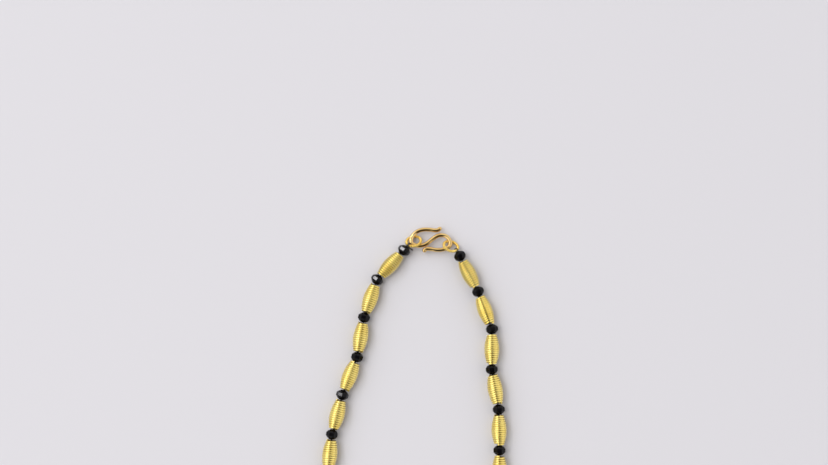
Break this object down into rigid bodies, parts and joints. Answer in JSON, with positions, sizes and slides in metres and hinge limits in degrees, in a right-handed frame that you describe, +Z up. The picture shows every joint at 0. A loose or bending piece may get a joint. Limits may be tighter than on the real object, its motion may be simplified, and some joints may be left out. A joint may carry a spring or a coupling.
{
  "type": "bead chain necklace",
  "caption": "Necklace of long gold beads wound from wire and small black faceted beads on thread, closed by an S-hook between two rings, lying in a loop.",
  "frame": {"origin": "middle of the necklace's outline, on the flat surface that it lies on", "axes": "+Y from the round bottom of the loop to the clasp, +X to the right as seen from above, +Z up from the surface"},
  "size_m": [0.0826, 0.198, 0.0058],
  "materials": {
    "gold_wire": "bright yellow gold plate on wound wire, dark between the turns",
    "black_glass": "opaque black faceted glass, high gloss",
    "black_thread": "waxed twisted thread",
    "hook_gold": "polished warm gold plate on round wire",
    "ring_gold": "gold plate on fine wound wire"
  },
  "bodies": {
    "root": {"gold_bead_01": "gold_wire", "gold_bead_02": "gold_wire", "gold_bead_03": "gold_wire", "gold_bead_04": "gold_wire", "gold_bead_05": "gold_wire", "gold_bead_06": "gold_wire", "gold_bead_07": "gold_wire", "gold_bead_08": "gold_wire", "gold_bead_09": "gold_wire", "gold_bead_10": "gold_wire", "gold_bead_11": "gold_wire", "gold_bead_12": "gold_wire", "gold_bead_13": "gold_wire", "gold_bead_14": "gold_wire", "gold_bead_15": "gold_wire", "gold_bead_16": "gold_wire", "gold_bead_17": "gold_wire", "gold_bead_18": "gold_wire", "gold_bead_19": "gold_wire", "gold_bead_20": "gold_wire", "gold_bead_21": "gold_wire", "gold_bead_22": "gold_wire", "gold_bead_23": "gold_wire", "gold_bead_24": "gold_wire", "gold_bead_25": "gold_wire", "gold_bead_26": "gold_wire", "gold_bead_27": "gold_wire", "gold_bead_28": "gold_wire", "bead_string_1": "black_glass", "bead_string_2": "black_glass", "bead_string_3": "black_glass", "bead_string_4": "black_glass", "bead_string_5": "black_glass", "bead_string_6": "black_glass", "clasp_hook": "hook_gold", "end_ring_left": "ring_gold", "end_ring_right": "ring_gold"}
  },
  "joints": []
}
